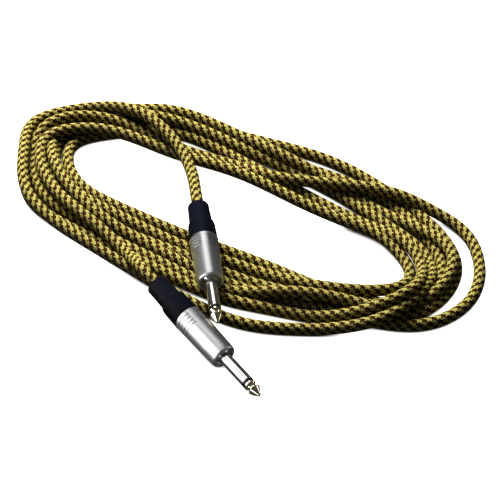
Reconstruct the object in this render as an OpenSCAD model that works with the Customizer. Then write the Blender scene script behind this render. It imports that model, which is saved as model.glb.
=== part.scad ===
// Instrument cable: a braided cord laid in a loose oblong coil, with a straight 6.35 mm
// mono plug on each end. Millimetres, +Z up, the coil lies on z = 0.

/* [Cord] */
// Outside diameter of the braided cord
cord_d = 6.4; // [5:0.1:8]

/* [Plug] */
// Length of the rubber boot
boot_len = 26.5; // [22:0.5:34]
// Boot diameter at the cord end
boot_rear_d = 11.2; // [9.5:0.1:13]
// Boot diameter where it meets the shell
boot_front_d = 15; // [14:0.1:18]
// Length of the metal shell
shell_len = 31.3; // [28:0.1:40]
// Wall of the shell around the thread
shell_wall = 2; // [1:0.1:3]
// Shell diameter at the front rim
shell_front_d = 13.4; // [12:0.1:16]

/* [Contacts] */
// Diameter of the plug finger
finger_d = 6.35; // [6.3:0.01:6.4]
// Finger length from the shell's rim to the point
finger_len = 29.2; // [28:0.1:32]
// Length of the tip contact
tip_len = 9; // [8:0.1:10]
// Width of the black insulating ring
ring_w = 1.3; // [0.8:0.1:2]
// Diameter of the rod that carries the tip
rod_d = 2.2; // [1.8:0.1:2.6]
// Wall of the tube between rod and sleeve
inner_wall = 0.75; // [0.5:0.05:0.9]

/* [Thread] */
// Wall of the chuck's jaws, with their clearances
jaw_room = 1.2; // [1:0.05:1.6]
// Wall of the bushing between its bore and its thread
bushing_wall = 1.2; // [0.8:0.05:1.6]
// Length of thread engaged in the shell
thread_len = 9.5; // [8:0.5:11]

/* [Hidden] */
run_gap = 0.05;        // a turning thread in its bore, on the radius
seat_gap = 0.02;       // two pieces seated on each other
face_gap = 0.1;        // faces that slide or turn past each other
loose_gap = 0.4;       // the cord in the boot, on the radius
grip_gap = 0.2;        // the cord in the chuck, on the radius
cord_sides = 10;
straight_out = 10;     // the cord leaves each boot straight for this long

// plug stations, along the plug's axis from the boot's rear end
shell_from = boot_len + face_gap;
rim_at = boot_len + shell_len;
thread_to = shell_from + thread_len;
tip_end = rim_at + finger_len;
ring_from = tip_end - tip_len - ring_w;

// boot
neck_len = 12.5;
neck_front_d = boot_rear_d + 0.9;
step_h = 0.8;
flare_len = 2.2;
rib_count = 30;
rib_w = 0.6;
rib_h = 0.3;

// bushing and chuck
bushing_bore_d = cord_d + 2 * jaw_room;
thread_d = bushing_bore_d + 2 * bushing_wall;
collar_d = thread_d - 1.2;
collar_len = 8.5;
collar_from = boot_len - collar_len;
shoulder_from = boot_len + 1;
chuck_flange_d = collar_d;
chuck_flange_len = 2.9;
chuck_from = shoulder_from + face_gap;
chuck_flange_from = thread_to + face_gap;
chuck_to = chuck_flange_from + chuck_flange_len;
slot_count = 3;
slot_w = 0.8;
cord_in_plug = chuck_to - 1.1;   // the jacket ends just inside the chuck

// shell
shell_rear_d = thread_d + 2 * shell_wall;
cavity_d = thread_d - 0.8;
recess_d = shell_front_d - 2.6;
recess_len = 1.3;
mouth_len = 2;
flange_to = rim_at - recess_len - mouth_len;
groove_count = 4;
groove_pitch = 2.1;
groove_w = 0.8;
groove_depth = 0.45;
groove_from = 2.4;
plain_count = 3;       // plain lands that interrupt the grooves
plain_w = 3.2;

// contact stack
flange_d = cavity_d - 2 * face_gap;
flange_len = 3;
flange_from = flange_to - seat_gap - flange_len;
tail_d = 6;
tail_len = 3;
tail_from = flange_from - tail_len;
collar_finger_d = finger_d + 1.75;
mouth_d = collar_finger_d + 2 * face_gap;
collar_finger_to = rim_at - 0.6;
finger_bore_d = rod_d + 2 * (inner_wall + 2 * seat_gap);
tag_t = 0.5;
washer_t = 0.8;
washer_d = tail_d;
washer_from = tail_from - seat_gap - washer_t;
tip_tag_from = washer_from - seat_gap - tag_t;
rivet_d = rod_d + 1.6;
rivet_len = 1;
rivet_from = tip_tag_from - seat_gap - rivet_len;
tag_d = rod_d + 3;
tag_strip_w = 2.2;
tag_from = chuck_to + 1.9;
rod_into_tip = 3;
core_d = 1.8;
shield_d = 1.2;
wire_from = cord_in_plug + seat_gap;
wire_run = rivet_from - 2.1 - wire_from;

// liner
liner_d = cavity_d - 2 * face_gap;
liner_wall = 0.5;
liner_from = chuck_to + 0.6;
liner_to = flange_from - face_gap;
ground_tag_d = liner_d - 2 * liner_wall - 4 * face_gap;

// where each plug lies: its point, its heading and its dip
front_point = [7.9, -111.5, 3.35];
front_yaw = -52.4;
front_dip = 6.7;
rear_point = [-13.4, -71.5, 14.2];
rear_yaw = -82.7;
rear_dip = 0.4;

// the coil, from the front plug to the rear plug: x, y and height above the floor
lap_1 = [[-59, -18, 5.8], [-82, 11, 6.2], [-105.5, 42, 5.8], [-107.5, 80, 6], [-82.5, 86, 6],
    [-42, 70, 3.5], [-5, 51.5, 4.5], [40, 21.5, 3], [56, 12.5, 2.5], [72, 2.5, 1.5],
    [85.5, -28.5, 0], [42, -40.5, 6], [12, -26, 1], [-31, -4, 0], [-70, 22.5, 0]];
lap_2 = [[-97, 47.5, 0], [-101, 84, 0], [-80, 94.5, 0], [-42, 99.5, 0], [-5, 81, 0], [40, 56, 0],
    [72, 36, 0], [96.5, 2.5, 0], [103, -22, 0], [87, -44, 0], [56, -42.5, 0], [16, -21, 0],
    [-31, 5, 0], [-68, 28, 0]];
lap_3 = [[-92, 50.5, 0], [-94, 80.5, 0], [-75, 89, 0], [-42, 90.5, 0], [-5, 68, 0], [44, 28.5, 0],
    [66, 11.5, 1], [86, -8, 5], [92, -27, 5.5], [86, -46, 10.5], [40, -57, 1], [14, -50.5, 0],
    [-10, -43, 0], [-34, -29, 0]];
lap_4 = [[-82, 4, 0], [-115.5, 34.5, 0], [-121, 70, 0], [-118.5, 97.5, 0], [-82, 110.5, 0],
    [-42, 106, 0], [-5, 88, 0], [45, 66.5, 0], [80, 36.5, 0], [101, 9, 1], [110.5, -15, 0],
    [99, -46, 0], [76, -57, 0], [48, -46, 0], [8, -33, 0], [-31, -11, 0]];
lap_5 = [[-84, 22, 0], [-110.5, 70, 0], [-110, 93.5, 0], [-82, 105.5, 0], [-42, 102.5, 5.6],
    [-5, 81, 6.3], [24, 60.5, 6.3], [46, 46.5, 2], [74, 22, 0.5], [108.5, -20, 6],
    [95.5, -44.5, 3.5], [75, -51.5, 2], [48, -48.5, 5.8], [16, -44, 6.2], [-8, -37.5, 0.2],
    [-34, -23, 0]];
lap_6 = [[-84, 13, 0], [-109.5, 40, 0], [-116, 70, 0], [-112, 85.5, 5.5], [-82, 96, 6],
    [-45, 79, 2.5], [-5, 59.5, 1.5], [20, 44.5, 6], [50, 39, 6.4], [84, 29.5, 6.4],
    [103, 20, 2.2], [111.5, 14, 0.5], [119, 3, 0], [122.5, -12, 0], [115.5, -45, 0],
    [92, -61.5, 0], [64, -59, 0], [24, -45, 0], [-8, -32, 0], [-31, -17, 0]];
lap_7 = [[-82, 21.5, 5], [-105.5, 67, 5], [-103, 88, 0.5], [-84, 100, 0.5], [-64, 98.5, 6],
    [-42, 95, 5.2], [-5, 75, 3.5], [45, 42, 0], [76, 12.5, 0], [97, -17, 0], [92, -42, 6],
    [70, -63, 6], [40, -65.5, 0.5], [0, -61, 0], [-40, -36, 0]];
lap_8 = [[-82, -4.5, 3.5], [-116.5, 33, 6.4], [-121, 70, 6.2], [-117.5, 93, 4], [-84, 104, 6.4],
    [-63, 96, 11.5], [-48, 83, 12], [-29.5, 49, 9.7]];

function unit(v) = v / norm(v);
function heading(yaw, dip) = [cos(dip) * cos(yaw), cos(dip) * sin(yaw), -sin(dip)];
function on_front(s) = front_point + (s - tip_end) * heading(front_yaw, front_dip);
function on_rear(s) = rear_point + (s - tip_end) * heading(rear_yaw, rear_dip);

laid = concat(lap_1, lap_2, lap_3, lap_4, lap_5, lap_6, lap_7, lap_8);
route = concat([for (s = [cord_in_plug, 0, -straight_out]) on_front(s)],
    [for (p = laid) [p[0], p[1], p[2] + cord_d / 2]],
    [for (s = [-straight_out, 0, cord_in_plug]) on_rear(s)]);

// one ring of the tube, square to the mean of the runs before and after it
function along(path, i) =
    let (a = path[max(i - 1, 0)], b = path[i], c = path[min(i + 1, len(path) - 1)])
    unit((i > 0 ? unit(b - a) : [0, 0, 0]) + (i < len(path) - 1 ? unit(c - b) : [0, 0, 0]));
function tube_ring(path, i, r, sides, up) =
    let (t = along(path, i), u = unit(cross(up, t)), v = cross(t, u))
    [for (k = [0:sides - 1])
        let (a = 360 * k / sides - 90) path[i] + r * (cos(a) * u + sin(a) * v)];

module tube(path, d, sides, up) {
    last = len(path) - 1;
    polyhedron(
        points = [for (i = [0:last]) each tube_ring(path, i, d / 2, sides, up)],
        faces = concat([[for (k = [0:sides - 1]) k]],
            [for (i = [0:last - 1], k = [0:sides - 1])
                let (a = i * sides + k, b = i * sides + (k + 1) % sides)
                each [[a, a + sides, b], [b, a + sides, b + sides]]],
            [[for (k = [sides - 1:-1:0]) last * sides + k]]));
}

module turned(outline) rotate_extrude($fn = 72) polygon(outline);
module at_front() translate(on_front(0)) rotate([0, 90 + front_dip, front_yaw]) children();
module at_rear() translate(on_rear(0)) rotate([0, 90 + rear_dip, rear_yaw]) children();

module ring_between(inner_d, outer_d, from, to)
    turned([[inner_d / 2, from], [outer_d / 2, from], [outer_d / 2, to], [inner_d / 2, to]]);

module cord() color("#8a7a2e") tube(route, cord_d, cord_sides, [0, 0, 1]);

module boot() color("#16181f") {
    bore = cord_d / 2 + loose_gap;
    pocket = collar_d / 2 + seat_gap;
    cone_r = neck_front_d / 2 + step_h;
    turned([[bore, 0], [boot_rear_d / 2 - 0.6, 0], [boot_rear_d / 2, 0.6],
        [neck_front_d / 2, neck_len], [cone_r, neck_len + flare_len],
        [boot_front_d / 2 - rib_h, boot_len], [pocket, boot_len],
        [pocket, collar_from - seat_gap], [bore, collar_from - seat_gap]]);
    intersection() {
        turned([[collar_d / 2 + 0.3, neck_len + flare_len], [cone_r, neck_len + flare_len],
            [cone_r + rib_h, neck_len + flare_len + 1.4], [boot_front_d / 2, boot_len - 0.4],
            [boot_front_d / 2 - 0.3, boot_len], [collar_d / 2 + 0.3, boot_len]]);
        for (k = [0:rib_count - 1]) rotate(360 * k / rib_count)
            translate([collar_d / 2, -rib_w / 2, 0]) cube([boot_front_d / 2, rib_w, boot_len]);
    }
}

module bushing() color("#c9b27a") turned([
    [cord_d / 2 + loose_gap, collar_from], [collar_d / 2, collar_from],
    [collar_d / 2, boot_len + seat_gap], [thread_d / 2, boot_len + seat_gap],
    [thread_d / 2, thread_to], [bushing_bore_d / 2, thread_to],
    [bushing_bore_d / 2, shoulder_from], [cord_d / 2 + loose_gap, shoulder_from]]);

module chuck() color("#e8e6df") difference() {
    bore = cord_d / 2 + grip_gap;
    body = bushing_bore_d / 2 - face_gap;
    turned([[bore, chuck_from], [body, chuck_from], [body, chuck_flange_from],
        [chuck_flange_d / 2, chuck_flange_from], [chuck_flange_d / 2, chuck_to],
        [bore, chuck_to]]);
    for (k = [0:slot_count - 1]) rotate(360 * k / slot_count)
        translate([0, -slot_w / 2, chuck_from + 3]) cube([chuck_flange_d, slot_w, chuck_to]);
}

module shell() color("#c3c5c8") difference() {
    rear = shell_rear_d / 2;
    front = shell_front_d / 2;
    thread_r = thread_d / 2 + run_gap;
    turned([[thread_r, shell_from], [rear - 0.4, shell_from], [rear, shell_from + 0.4],
        [front + 0.12, rim_at - 2.2], [front, rim_at - 0.6], [front - 0.5, rim_at],
        [recess_d / 2, rim_at], [recess_d / 2, rim_at - recess_len],
        [mouth_d / 2, rim_at - recess_len], [mouth_d / 2, flange_to],
        [cavity_d / 2, flange_to], [cavity_d / 2, thread_to + 0.6],
        [thread_r, thread_to + 0.6]]);
    difference() {
        for (k = [0:groove_count - 1])
            ring_between(shell_rear_d - 2 * groove_depth - 0.1 * k, shell_rear_d + 2,
                shell_from + groove_from + k * groove_pitch,
                shell_from + groove_from + k * groove_pitch + groove_w);
        for (k = [0:plain_count - 1]) rotate(360 * k / plain_count + 60)
            translate([0, -plain_w / 2, shell_from]) cube([shell_rear_d, plain_w, shell_len]);
    }
}

module sleeve() color("#d5d6d8") turned([
    [finger_bore_d / 2, tail_from], [tail_d / 2, tail_from], [tail_d / 2, flange_from],
    [flange_d / 2, flange_from], [flange_d / 2, flange_to - seat_gap],
    [collar_finger_d / 2, flange_to - seat_gap], [collar_finger_d / 2, collar_finger_to - 0.5],
    [collar_finger_d / 2 - 0.5, collar_finger_to], [finger_d / 2, collar_finger_to],
    [finger_d / 2, ring_from - 0.3], [finger_d / 2 - 0.3, ring_from],
    [finger_bore_d / 2, ring_from]]);

module insulator_ring() color("#101010") ring_between(rod_d + 2 * seat_gap, finger_d,
    ring_from + seat_gap, ring_from + ring_w - seat_gap);

module tip() color("#d8d2c0") {
    from = ring_from + ring_w;
    rod_hole = rod_d / 2 + seat_gap;
    turned([[rod_hole, from], [finger_d / 2 - 0.3, from], [finger_d / 2, from + 0.3],
        [finger_d / 2, from + 1.2], [2.45, from + 2], [2.1, from + 2.9], [2.3, from + 3.5],
        [finger_d / 2 - 0.1, from + 4.2], [finger_d / 2, from + 4.5],
        [finger_d / 2 - 0.12, from + 4.9], [0.9, tip_end - 0.3], [0.5, tip_end], [0, tip_end],
        [0, from + rod_into_tip + seat_gap], [rod_hole, from + rod_into_tip + seat_gap]]);
}

module rod() color("#c8a860")
    turned([[0, rivet_from], [rod_d / 2, rivet_from],
        [rod_d / 2, ring_from + ring_w + rod_into_tip],
        [0, ring_from + ring_w + rod_into_tip]]);

module inner_insulator() color("#e9e4d2") ring_between(rod_d + 2 * seat_gap,
    finger_bore_d - 2 * seat_gap, tail_from, ring_from - seat_gap);

module washer() color("#e9e4d2")
    ring_between(rod_d + 2 * seat_gap, washer_d, washer_from, washer_from + washer_t);

module tip_terminal() color("#cfcab8") difference() {
    union() {
        ring_between(rod_d / 2, tag_d, tip_tag_from, tip_tag_from + tag_t);
        translate([-tag_d / 2 - tag_t / 2, -tag_strip_w / 2, tag_from])
            cube([tag_t, tag_strip_w, tip_tag_from + tag_t - tag_from]);
    }
    translate([0, 0, tip_tag_from - 1]) cylinder(d = rod_d + 2 * seat_gap, h = tag_t + 2, $fn = 72);
}

module rivet() color("#c8a860")
    ring_between(rod_d + 2 * seat_gap, rivet_d, rivet_from, rivet_from + rivet_len);

module ground_terminal() color("#cfcab8") {
    from = flange_from - seat_gap - tag_t;
    ring_between(tail_d + 2 * seat_gap, ground_tag_d, from, from + tag_t);
    translate([ground_tag_d / 2 - 0.3 - tag_t, -tag_strip_w / 2, tag_from])
        cube([tag_t, tag_strip_w, from + tag_t - tag_from]);
}

module liner() color("#2a2a2c")
    ring_between(liner_d - 2 * liner_wall, liner_d, liner_from, liner_to);

module core_wire() color("#d8d0c0") {
    x = -tag_d / 2 + tag_t / 2 + core_d / 2 + face_gap;
    tube([for (p = [[0, 0], [0, 0.03], [0, 0.2], [x, 0.57], [x, 1]])
        [p[0], 0, wire_from + p[1] * wire_run]], core_d, 8, [0, 1, 0]);
}

module shield_wire() color("#b87848") {
    x = ground_tag_d / 2 - 0.3 - tag_t - shield_d / 2 - face_gap;
    tube([for (p = [[2, 0], [2, 0.03], [2.2, 0.23], [x, 0.57], [x, 1]])
        [p[0], 0, wire_from + p[1] * wire_run]], shield_d, 8, [0, 1, 0]);
}

cord();
at_front() shell();  // front_shell
at_front() boot();  // front_boot
at_front() bushing();  // front_bushing
at_front() chuck();  // front_chuck
at_front() sleeve();  // front_sleeve
at_front() insulator_ring();  // front_insulator_ring
at_front() tip();  // front_tip
at_front() rod();  // front_rod
at_front() inner_insulator();  // front_inner_insulator
at_front() washer();  // front_washer
at_front() ground_terminal();  // front_ground_terminal
at_front() tip_terminal();  // front_tip_terminal
at_front() rivet();  // front_rivet
at_front() liner();  // front_liner
at_front() core_wire();  // front_core_wire
at_front() shield_wire();  // front_shield_wire
at_rear() shell();  // rear_shell
at_rear() boot();  // rear_boot
at_rear() bushing();  // rear_bushing
at_rear() chuck();  // rear_chuck
at_rear() sleeve();  // rear_sleeve
at_rear() insulator_ring();  // rear_insulator_ring
at_rear() tip();  // rear_tip
at_rear() rod();  // rear_rod
at_rear() inner_insulator();  // rear_inner_insulator
at_rear() washer();  // rear_washer
at_rear() ground_terminal();  // rear_ground_terminal
at_rear() tip_terminal();  // rear_tip_terminal
at_rear() rivet();  // rear_rivet
at_rear() liner();  // rear_liner
at_rear() core_wire();  // rear_core_wire
at_rear() shield_wire();  // rear_shield_wire
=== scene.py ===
"""Instrument cable: a braided cord in a loose coil, with a straight phone plug on each end."""
import math

import bpy
import numpy as np
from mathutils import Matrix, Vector


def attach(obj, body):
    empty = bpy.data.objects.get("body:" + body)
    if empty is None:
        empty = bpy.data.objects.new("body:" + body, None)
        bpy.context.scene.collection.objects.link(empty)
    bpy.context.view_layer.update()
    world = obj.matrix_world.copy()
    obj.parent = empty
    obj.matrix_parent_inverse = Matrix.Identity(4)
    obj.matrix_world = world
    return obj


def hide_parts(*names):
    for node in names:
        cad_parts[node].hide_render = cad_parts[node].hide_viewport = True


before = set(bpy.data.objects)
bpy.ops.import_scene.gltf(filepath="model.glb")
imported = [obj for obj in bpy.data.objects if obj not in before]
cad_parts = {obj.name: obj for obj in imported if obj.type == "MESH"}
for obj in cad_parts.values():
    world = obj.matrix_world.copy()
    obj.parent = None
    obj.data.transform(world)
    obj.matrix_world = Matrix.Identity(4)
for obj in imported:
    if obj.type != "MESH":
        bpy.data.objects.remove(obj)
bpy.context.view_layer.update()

MM = 0.001

# ---------------------------------------------------------------- camera
TARGET = Vector((3, -6, 3)) * MM
DISTANCE = 1.2          # metres
ELEVATION = math.radians(43)
PHOTO_WIDTH_PX = 500
PX_PER_MM = 1.9         # at the target
SENSOR_MM = 36
CLIP_END = 20


def make_camera():
    data = bpy.data.cameras.new("camera")
    data.sensor_width = SENSOR_MM
    data.lens = SENSOR_MM * PX_PER_MM * DISTANCE / MM / PHOTO_WIDTH_PX
    data.clip_end = CLIP_END
    camera = bpy.data.objects.new("camera", data)
    back = Vector((0, -math.cos(ELEVATION), math.sin(ELEVATION)))
    camera.location = TARGET + DISTANCE * back
    camera.rotation_euler = (math.pi / 2 - ELEVATION, 0, 0)
    bpy.context.scene.collection.objects.link(camera)
    bpy.context.scene.camera = camera


# ---------------------------------------------------------------- the cord's route, in millimetres
CORD_D = 6.4
CORD_IN_PLUG = 38       # from the boot's rear end to the cord's own end
STRAIGHT_OUT = 10       # from the boot's rear end to where the cord may bend
SAMPLES_PER_MM = 4
PATH_STEP = 3

# each plug: where its point is, its heading and its dip in degrees
FRONT = ((7.9, -111.5, 3.35), -52.4, 6.7)
REAR = ((-13.4, -71.5, 14.2), -82.7, 0.4)
PLUG_LEN = 87           # from the boot's rear end to the point

# from the front plug to the rear plug: x, y and the height of the cord's underside
LAPS = (
    ((-59, -18, 5.8), (-82, 11, 6.2), (-105.5, 42, 5.8), (-107.5, 80, 6), (-82.5, 86, 6),
     (-42, 70, 3.5), (-5, 51.5, 4.5), (40, 21.5, 3), (56, 12.5, 2.5), (72, 2.5, 1.5),
     (85.5, -28.5, 0), (42, -40.5, 6), (12, -26, 1), (-31, -4, 0), (-70, 22.5, 0)),
    ((-97, 47.5, 0), (-101, 84, 0), (-80, 94.5, 0), (-42, 99.5, 0), (-5, 81, 0), (40, 56, 0),
     (72, 36, 0), (96.5, 2.5, 0), (103, -22, 0), (87, -44, 0), (56, -42.5, 0), (16, -21, 0),
     (-31, 5, 0), (-68, 28, 0)),
    ((-92, 50.5, 0), (-94, 80.5, 0), (-75, 89, 0), (-42, 90.5, 0), (-5, 68, 0), (44, 28.5, 0),
     (66, 11.5, 1), (86, -8, 5), (92, -27, 5.5), (86, -46, 10.5), (40, -57, 1), (14, -50.5, 0),
     (-10, -43, 0), (-34, -29, 0)),
    ((-82, 4, 0), (-115.5, 34.5, 0), (-121, 70, 0), (-118.5, 97.5, 0), (-82, 110.5, 0),
     (-42, 106, 0), (-5, 88, 0), (45, 66.5, 0), (80, 36.5, 0), (101, 9, 1), (110.5, -15, 0),
     (99, -46, 0), (76, -57, 0), (48, -46, 0), (8, -33, 0), (-31, -11, 0)),
    ((-84, 22, 0), (-110.5, 70, 0), (-110, 93.5, 0), (-82, 105.5, 0), (-42, 102.5, 5.6),
     (-5, 81, 6.3), (24, 60.5, 6.3), (46, 46.5, 2), (74, 22, 0.5), (108.5, -20, 6),
     (95.5, -44.5, 3.5), (75, -51.5, 2), (48, -48.5, 5.8), (16, -44, 6.2), (-8, -37.5, 0.2),
     (-34, -23, 0)),
    ((-84, 13, 0), (-109.5, 40, 0), (-116, 70, 0), (-112, 85.5, 5.5), (-82, 96, 6),
     (-45, 79, 2.5), (-5, 59.5, 1.5), (20, 44.5, 6), (50, 39, 6.4), (84, 29.5, 6.4),
     (103, 20, 2.2), (111.5, 14, 0.5), (119, 3, 0), (122.5, -12, 0), (115.5, -45, 0),
     (92, -61.5, 0), (64, -59, 0), (24, -45, 0), (-8, -32, 0), (-31, -17, 0)),
    ((-82, 21.5, 5), (-105.5, 67, 5), (-103, 88, 0.5), (-84, 100, 0.5), (-64, 98.5, 6),
     (-42, 95, 5.2), (-5, 75, 3.5), (45, 42, 0), (76, 12.5, 0), (97, -17, 0), (92, -42, 6),
     (70, -63, 6), (40, -65.5, 0.5), (0, -61, 0), (-40, -36, 0)),
    ((-82, -4.5, 3.5), (-116.5, 33, 6.4), (-121, 70, 6.2), (-117.5, 93, 4), (-84, 104, 6.4),
     (-63, 96, 11.5), (-48, 83, 12), (-29.5, 49, 9.7)),
)


def on_axis(plug, s):
    """The place s mm ahead of the boot's rear end, on the plug's axis."""
    point, yaw, dip = plug
    yaw, dip = math.radians(yaw), math.radians(dip)
    way = np.array((math.cos(dip) * math.cos(yaw), math.cos(dip) * math.sin(yaw), -math.sin(dip)))
    return np.array(point) + (s - PLUG_LEN) * way


def run_along(points):
    """How far along the line each of its points is."""
    return np.concatenate([[0], np.cumsum(np.linalg.norm(np.diff(points, axis=0), axis=1))])


def natural_cubic(knots, values, at):
    """The natural cubic spline through values at knots, read at the places in at."""
    n = len(knots)
    h = np.diff(knots)
    slope = np.diff(values, axis=0) / h[:, None]
    a = np.zeros((n, n))
    b = np.zeros((n, values.shape[1]))
    a[0, 0] = a[-1, -1] = 1
    for i in range(1, n - 1):
        a[i, i - 1:i + 2] = h[i - 1], 2 * (h[i - 1] + h[i]), h[i]
        b[i] = 6 * (slope[i] - slope[i - 1])
    m = np.linalg.solve(a, b)
    k = np.clip(np.searchsorted(knots, at, side="right") - 1, 0, n - 2)
    t, hk = (at - knots[k])[:, None], h[k][:, None]
    first = slope[k] - hk * (2 * m[k] + m[k + 1]) / 6
    return values[k] + t * (first + t * (m[k] / 2 + t * (m[k + 1] - m[k]) / (6 * hk)))


def centreline(step):
    """The middle of the cord, a point every step or so, and how far along it each one is."""
    laid = [(x, y, lift + CORD_D / 2) for lap in LAPS for x, y, lift in lap]
    on_plug = (CORD_IN_PLUG, CORD_IN_PLUG / 2, 0, -STRAIGHT_OUT)
    front = [on_axis(FRONT, s) for s in on_plug]
    rear = [on_axis(REAR, s) for s in reversed(on_plug)]
    points = np.array([*front, *laid, *rear])
    knots = run_along(points)
    samples = np.linspace(0, knots[-1], int(knots[-1] * SAMPLES_PER_MM))
    fine = natural_cubic(knots, points, samples)
    # the spline may dip between two points on the floor, and the cord doesn't
    fine[:, 2] = np.maximum(fine[:, 2], CORD_D / 2)
    run = run_along(fine)
    at = np.linspace(0, run[-1], int(run[-1] / step) + 1)
    return np.stack([np.interp(at, run, fine[:, c]) for c in range(3)], 1), at


# ---------------------------------------------------------------- the braided cord, in millimetres
STRANDS = 16            # strands that wind each way
REPEAT = 4              # each strand goes over two and under two, so the weave repeats after four
LAY = 20.6              # one turn of a strand, along the cord
RELIEF = 0.22           # depth of the weave
STRAND_ROUND = 3.6      # how fast a strand falls away from its middle line
RING_STEP = 0.5         # between the mesh's rings
AROUND = 48             # points in a ring

BAKE_ROWS = 15          # the bake's square holds the cord cut into this many rows
ROW_END = 0.004         # left free at each end of a row, as a share of the square
ROW_EDGE = 0.03         # left free along each edge of a row, as a share of its height
CAP_SPOT = 0.999        # where both end faces are baked


def braid_height(a, s):
    """How high the top strand stands, 0 to 1: a in turns round the cord, s along it."""
    p = a * STRANDS + s / LAY * STRANDS
    q = a * STRANDS - s / LAY * STRANDS
    over = (np.floor(p) + np.floor(q)) % REPEAT < REPEAT / 2
    across = np.where(over, p, q) % 1 - 0.5
    return np.sqrt(np.clip(1 - STRAND_ROUND * across**2, 0, 1))


def ring_frames(line):
    """Two directions square to the line at each point, turned as little as they can be."""
    t = np.gradient(line, axis=0)
    t /= np.linalg.norm(t, axis=1)[:, None]
    u = np.zeros_like(t)
    u[0] = np.cross(t[0], (0, 0, 1))
    u[0] /= np.linalg.norm(u[0])
    for i in range(1, len(t)):
        u[i] = u[i - 1] - t[i] * (u[i - 1] @ t[i])
        u[i] /= np.linalg.norm(u[i])
    return u, np.cross(t, u)


def braided_surface(line, at):
    """The rings of points round the line, on the crowns and in the valleys of the weave."""
    u, v = ring_frames(line)
    turn, along = np.meshgrid(np.arange(AROUND) / AROUND, at)
    r = CORD_D / 2 - RELIEF * (1 - braid_height(turn, along))
    angle = 2 * np.pi * turn
    outward = np.cos(angle)[..., None] * u[:, None] + np.sin(angle)[..., None] * v[:, None]
    return line[:, None] + r[..., None] * outward


def side_corners(rings):
    """Each corner of each face of the side: its ring, and its place round it, 0 to AROUND."""
    i, k = np.meshgrid(np.arange(rings - 1), np.arange(AROUND), indexing="ij")
    ring = np.stack([i, i, i + 1, i + 1], -1).reshape(-1)
    place = np.stack([k, k + 1, k + 1, k], -1).reshape(-1)
    return ring, place


def tube_mesh(places, ring, place):
    """The side's faces of four corners, then one face over each end."""
    side = ring * AROUND + place % AROUND
    first_end = np.arange(AROUND)[::-1]
    last_end = (len(places) - 1) * AROUND + np.arange(AROUND)
    loops = np.concatenate([side, first_end, last_end])
    starts = np.concatenate([np.arange(0, len(side), 4), len(side) + np.array([0, AROUND])])
    mesh = bpy.data.meshes.new("cord")
    mesh.vertices.add(len(places) * AROUND)
    mesh.vertices.foreach_set("co", (places * MM).ravel())
    mesh.loops.add(len(loops))
    mesh.loops.foreach_set("vertex_index", loops.astype(np.int32))
    mesh.polygons.add(len(starts))
    mesh.polygons.foreach_set("loop_start", starts.astype(np.int32))
    mesh.update(calc_edges=True)
    return mesh


def add_coordinates(mesh, name, x, y, ends):
    """A layer of coordinates: x and y at the side's corners, and one spot for both ends."""
    layer = np.full((len(mesh.loops), 2), ends, np.float32)
    layer[:len(x), 0] = x
    layer[:len(y), 1] = y
    mesh.uv_layers.new(name=name).uv.foreach_set("vector", layer.ravel())


def make_cord():
    line, at = centreline(RING_STEP)
    ring, place = side_corners(len(line))
    mesh = tube_mesh(braided_surface(line, at), ring, place)

    # the weave's own coordinates: turns round the cord and millimetres along it
    turn = place / AROUND
    add_coordinates(mesh, "Weave", turn, at[ring], ends=0)

    # the same surface cut into rows that fill a square, for the bake
    per_row = math.ceil((len(line) - 1) / BAKE_ROWS)
    row = np.repeat(ring[::4] // per_row, 4)
    along_row = ROW_END + (1 - 2 * ROW_END) * (ring - row * per_row) / per_row
    across_row = (row + ROW_EDGE + (1 - 2 * ROW_EDGE) * turn) / BAKE_ROWS
    add_coordinates(mesh, "OFBake", along_row, across_row, ends=CAP_SPOT)
    mesh.uv_layers["Weave"].active_render = True

    mesh.shade_smooth()
    cord = bpy.data.objects.new("braided_cord", mesh)
    bpy.context.scene.collection.objects.link(cord)
    mesh.materials.append(braid_material())
    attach(cord, "root")
    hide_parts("cord")
    path = centreline(PATH_STEP)[0] * MM


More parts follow.
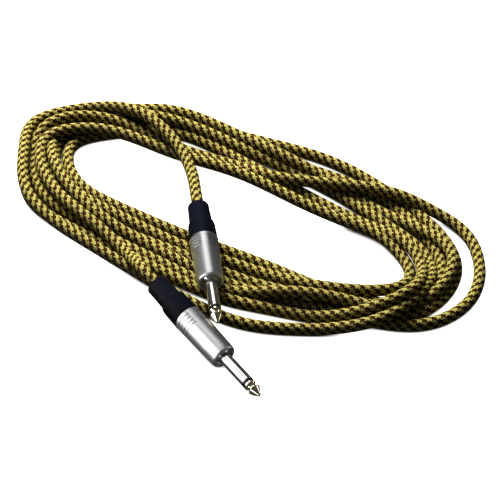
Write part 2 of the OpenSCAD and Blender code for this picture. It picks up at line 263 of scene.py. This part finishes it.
# ---------------------------------------------------------------- node helpers
class Nodes:
    """Builds a material's node tree: each call adds a node and links what it is given."""

    # the sockets of a Mix node that mixes colours
    MIX_INPUTS = 0, 6, 7
    MIX_OUTPUT = 2

    def __init__(self, name):
        self.material = bpy.data.materials.new(name)
        self.material.use_nodes = True
        self.tree = self.material.node_tree
        self.tree.nodes.clear()
        self.shader = self.tree.nodes.new("ShaderNodeBsdfPrincipled")
        out = self.tree.nodes.new("ShaderNodeOutputMaterial")
        self.tree.links.new(self.shader.outputs[0], out.inputs["Surface"])

    def put(self, socket, value):
        if isinstance(value, bpy.types.NodeSocket):
            self.tree.links.new(value, socket)
        elif value is not None:
            socket.default_value = value

    def add(self, kind, inputs=(), output=0, **settings):
        node = self.tree.nodes.new("ShaderNode" + kind)
        for key, value in settings.items():
            setattr(node, key, value)
        for key, value in dict(inputs).items():
            self.put(node.inputs[key], value)
        return node.outputs[output]

    def math(self, operation, a, b=None, c=None):
        node = self.tree.nodes.new("ShaderNodeMath")
        node.operation = operation
        for socket, value in zip(node.inputs, (a, b, c)):
            self.put(socket, value)
        return node.outputs[0]

    def mix(self, factor, a, b):
        node = self.tree.nodes.new("ShaderNodeMix")
        node.data_type = "RGBA"
        for number, value in zip(self.MIX_INPUTS, (factor, a, b)):
            self.put(node.inputs[number], value)
        return node.outputs[self.MIX_OUTPUT]

    def split(self, vector):
        node = self.tree.nodes.new("ShaderNodeSeparateXYZ")
        self.put(node.inputs[0], vector)
        return node.outputs

    def join(self, x, y, z):
        node = self.tree.nodes.new("ShaderNodeCombineXYZ")
        for socket, value in zip(node.inputs, (x, y, z)):
            self.put(socket, value)
        return node.outputs[0]

    def blend_number(self, factor, low, high):
        return self.math("MULTIPLY_ADD", factor, high - low, low)

    def noise(self, scale, detail, coordinates=None):
        """Noise with scale cells to a metre, or to a unit of the coordinates it is given."""
        where = coordinates or self.add("TexCoord", output="Object")
        return self.add("TexNoise", {"Vector": where, "Scale": scale, "Detail": detail})

    def bump(self, height, strength, distance):
        normal = self.add("Bump", {"Height": height, "Strength": strength, "Distance": distance})
        self.put(self.shader.inputs["Normal"], normal)

    def set(self, **values):
        for key, value in values.items():
            self.put(self.shader.inputs[key.replace("_", " ")], value)
        return self.material


# ---------------------------------------------------------------- the braid's material
# each colour is linear red, green, blue and alpha
YELLOW = (0.34, 0.31, 0.065, 1)
YELLOW_PALE = (0.48, 0.46, 0.21, 1)
BROWN = (0.042, 0.015, 0.003, 1)
BROWN_RED = (0.074, 0.028, 0.006, 1)
PAINTED_VALLEY_SHADE = (0.012, 0.006, 0.003, 1)     # painted shade in the valleys between strands
# how dark the painted valley shade gets, and how tightly it keeps to the valleys
PAINTED_SHADE_STRENGTH = 0.75
PAINTED_SHADE_SHARPNESS = 4.0
THREADS_ACROSS = 7.0                # a strand's threads are this fine across it
THREADS_ALONG = 0.8                 # and this fine along it
OTHER_THREADS = (3.7, 1.9)          # moves each strand on to threads of its own
THREAD_BUMP = 0.35                  # height of the threads beside that of a strand


def braid_material():
    n = Nodes("braid_weave")
    turn, along, _ = n.split(n.add("UVMap", uv_map="Weave"))
    u = n.math("MULTIPLY", turn, STRANDS)
    v = n.math("MULTIPLY", along, STRANDS / LAY)
    p, q = n.math("ADD", u, v), n.math("SUBTRACT", u, v)
    i, j = n.math("FLOOR", p), n.math("FLOOR", q)

    def first_half(x):
        """1 where the whole number x is in the first half of a repeat, and 0 elsewhere."""
        return n.math("LESS_THAN", n.math("FLOORED_MODULO", x, REPEAT), (REPEAT - 1) / 2)

    over = first_half(n.math("ADD", i, j))
    under = n.math("SUBTRACT", 1.0, over)

    def of_top(a, b):
        """a where the strand of p is on top, and b where that of q is."""
        return n.math("ADD", n.math("MULTIPLY", over, a), n.math("MULTIPLY", under, b))

    # two yellow strands, then two brown ones, each way
    is_yellow = of_top(first_half(i), first_half(j))
    across = n.math("SUBTRACT", n.math("FRACT", of_top(p, q)), 0.5)
    from_middle = n.math("ABSOLUTE", across)
    fall = n.math("MULTIPLY", n.math("POWER", from_middle, 2.0), STRAND_ROUND)
    crown = n.math("SUBTRACT", 1.0, fall)

    x = n.math("MULTIPLY", across, THREADS_ACROSS)
    y = n.math("MULTIPLY", of_top(q, p), THREADS_ALONG)
    own_i = n.math("MULTIPLY", i, OTHER_THREADS[0])
    own_j = n.math("MULTIPLY", j, OTHER_THREADS[1])
    place = n.join(x, y, n.math("ADD", own_i, own_j))
    threads = n.noise(scale=2.2, detail=2, coordinates=place)

    yellow = n.mix(threads, YELLOW, YELLOW_PALE)
    brown = n.mix(n.noise(scale=90, detail=2), BROWN, BROWN_RED)
    colour = n.mix(is_yellow, brown, yellow)
    # painted shade toward the valleys: 0 in the middle of a strand and 1 at its sides
    edge = n.math("POWER", n.math("MULTIPLY", from_middle, 2.0), PAINTED_SHADE_SHARPNESS)
    colour = n.mix(n.math("MULTIPLY", edge, PAINTED_SHADE_STRENGTH), colour, PAINTED_VALLEY_SHADE)
    height = n.math("ADD", crown, n.math("MULTIPLY", threads, THREAD_BUMP))
    n.bump(height, strength=0.6, distance=0.12 * MM)
    return n.set(Base_Color=colour, Roughness=n.blend_number(threads, 0.45, 0.75),
                 Specular_IOR_Level=0.15)


# ---------------------------------------------------------------- the plugs' materials
SPREAD = 0.12           # in roughness, from patch to patch of a machined or plastic piece


def rubber():
    n = Nodes("moulded_rubber")
    patches = n.noise(scale=160, detail=2)
    colour = n.mix(patches, (0.0035, 0.0042, 0.010, 1), (0.007, 0.008, 0.016, 1))
    n.bump(n.noise(scale=2600, detail=4), strength=0.25, distance=0.04 * MM)
    return n.set(Base_Color=colour, Roughness=n.blend_number(patches, 0.55, 0.68),
                 Specular_IOR_Level=0.3)


def satin_nickel():
    n = Nodes("satin_nickel")
    patches = n.noise(scale=120, detail=3)
    colour = n.mix(patches, (0.58, 0.59, 0.60, 1), (0.68, 0.68, 0.68, 1))
    n.bump(n.noise(scale=3200, detail=5), strength=0.18, distance=0.03 * MM)
    return n.set(Base_Color=colour, Metallic=1.0, Roughness=n.blend_number(patches, 0.36, 0.46))


def polished_nickel():
    n = Nodes("polished_nickel")
    patches = n.noise(scale=300, detail=3)
    colour = n.mix(patches, (0.80, 0.79, 0.76, 1), (0.88, 0.87, 0.84, 1))
    return n.set(Base_Color=colour, Metallic=1.0, Roughness=n.blend_number(patches, 0.14, 0.20))


def tip_nickel():
    n = Nodes("tip_nickel")
    patches = n.noise(scale=300, detail=3)
    colour = n.mix(patches, (0.86, 0.80, 0.62, 1), (0.90, 0.85, 0.70, 1))
    return n.set(Base_Color=colour, Metallic=1.0, Roughness=n.blend_number(patches, 0.05, 0.10))


def machined(name, low, high, roughness):
    n = Nodes(name)
    patches = n.noise(scale=400, detail=3)
    return n.set(Base_Color=n.mix(patches, low, high), Metallic=1.0,
                 Roughness=n.blend_number(patches, roughness, roughness + SPREAD))


def plastic(name, low, high, roughness):
    n = Nodes(name)
    patches = n.noise(scale=350, detail=3)
    n.bump(n.noise(scale=2400, detail=3), strength=0.1, distance=0.03 * MM)
    return n.set(Base_Color=n.mix(patches, low, high),
                 Roughness=n.blend_number(patches, roughness, roughness + SPREAD))


def finish_plugs():
    """Gives each CAD piece of the two plugs the material of its kind."""
    brass = machined("machined_brass", (0.62, 0.47, 0.22, 1), (0.74, 0.58, 0.30, 1), 0.25)
    tinned = machined("tinned_brass", (0.58, 0.56, 0.50, 1), (0.70, 0.68, 0.62, 1), 0.30)
    copper = machined("copper_strands", (0.55, 0.26, 0.14, 1), (0.68, 0.36, 0.20, 1), 0.32)
    pale = plastic("pale_nylon", (0.68, 0.66, 0.58, 1), (0.76, 0.74, 0.66, 1), 0.4)
    black = plastic("black_acetal", (0.008, 0.008, 0.008, 1), (0.016, 0.016, 0.016, 1), 0.25)
    finishes = {
        "shell": satin_nickel(), "boot": rubber(), "bushing": brass, "chuck": pale,
        "sleeve": polished_nickel(), "insulator_ring": black, "tip": tip_nickel(), "rod": brass,
        "inner_insulator": pale, "washer": pale, "ground_terminal": tinned,
        "tip_terminal": tinned, "rivet": brass, "liner": black, "core_wire": pale,
        "shield_wire": copper,
    }
    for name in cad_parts:
        # front_shell and rear_shell are both a shell
        kind = name.split("_", 1)[-1]
        if kind in finishes:
            for slot in bpy.data.objects[name].material_slots:
                slot.material = finishes[kind]


# ---------------------------------------------------------------- floor and light, in metres
FLOOR_HALF = 6
FLOOR_GLOW = 0.75           # the floor glows by itself, so shadows on it stay pale
SHADE_GAP = 0.006                 # but the glow fades to painted shade where strands stand nearer than this
OPEN_SKY = (0.22, 0.42)     # no glow up to the first share of open sky, full glow from the second
SKY_STRENGTH = 0.085

# name, place, width and height, watts, and whether it lights the cloth or is only mirrored
LAMPS = (
    ("key", (-0.33, 0.88, 0.92), (0.8, 0.5), 40, True),
    ("left_card", (-0.95, -0.3, 0.6), (1.1, 1.3), 9, False),
    ("low_card", (-0.75, -0.85, 0.15), (1.2, 0.3), 3, False),
    ("right_card", (1.1, 0.2, 0.35), (0.3, 0.9), 1.2, False),
    ("top_card", (-0.25, 0.55, 1.25), (0.8, 0.6), 2, False),
    ("back_card", (-0.2, 1.15, 0.95), (0.8, 0.5), 2.2, False),
)


def make_floor():
    """A pale floor that glows by itself, with painted shade where strands stand close; the metal
    doesn't mirror it and it doesn't light the cloth.
    """
    mesh = bpy.data.meshes.new("floor")
    w = FLOOR_HALF
    mesh.from_pydata([(-w, -w, 0), (w, -w, 0), (w, w, 0), (-w, w, 0)], [], [(0, 1, 2, 3)])
    floor = bpy.data.objects.new("floor", mesh)
    bpy.context.scene.collection.objects.link(floor)
    n = Nodes("pale_floor")
    tone = n.mix(n.noise(scale=3, detail=2), (0.72, 0.72, 0.72, 1), (0.74, 0.74, 0.74, 1))
    # painted shade: the floor's glow is dimmed where strands stand close over it, darkest in
    # narrow gaps between strands
    open_sky = n.add("AmbientOcclusion", {"Distance": SHADE_GAP}, output=1, samples=32)
    start, full = OPEN_SKY
    clear = n.add("MapRange", {"Value": open_sky, "From Min": start, "From Max": full})
    glow = n.math("MULTIPLY", clear, FLOOR_GLOW)
    mesh.materials.append(n.set(Base_Color=tone, Roughness=0.9, Specular_IOR_Level=0.1,
                                Emission_Color=(1, 1, 1, 1), Emission_Strength=glow))
    floor.visible_diffuse = False
    floor.visible_glossy = False


def area_light(name, at, size, watts, lights_cloth):
    """A lamp that aims at the middle of the coil, and lights the cloth or is only mirrored."""
    data = bpy.data.lights.new(name, "AREA")
    data.shape = "RECTANGLE"
    data.size, data.size_y = size
    data.energy = watts
    lamp = bpy.data.objects.new(name, data)
    lamp.location = at
    lamp.rotation_euler = (-Vector(at)).to_track_quat("-Z", "Y").to_euler()
    lamp.visible_glossy = not lights_cloth
    lamp.visible_diffuse = lights_cloth
    bpy.context.scene.collection.objects.link(lamp)


def make_light():
    world = bpy.data.worlds.new("studio")
    world.use_nodes = True
    sky = world.node_tree.nodes["Background"].inputs
    sky["Color"].default_value = (1, 1, 1, 1)
    sky["Strength"].default_value = SKY_STRENGTH
    bpy.context.scene.world = world
    for lamp in LAMPS:
        area_light(*lamp)
    bpy.context.scene.view_settings.view_transform = "Standard"
    bpy.context.scene.view_settings.look = "High Contrast"


make_camera()
make_cord()
finish_plugs()
make_floor()
make_light()
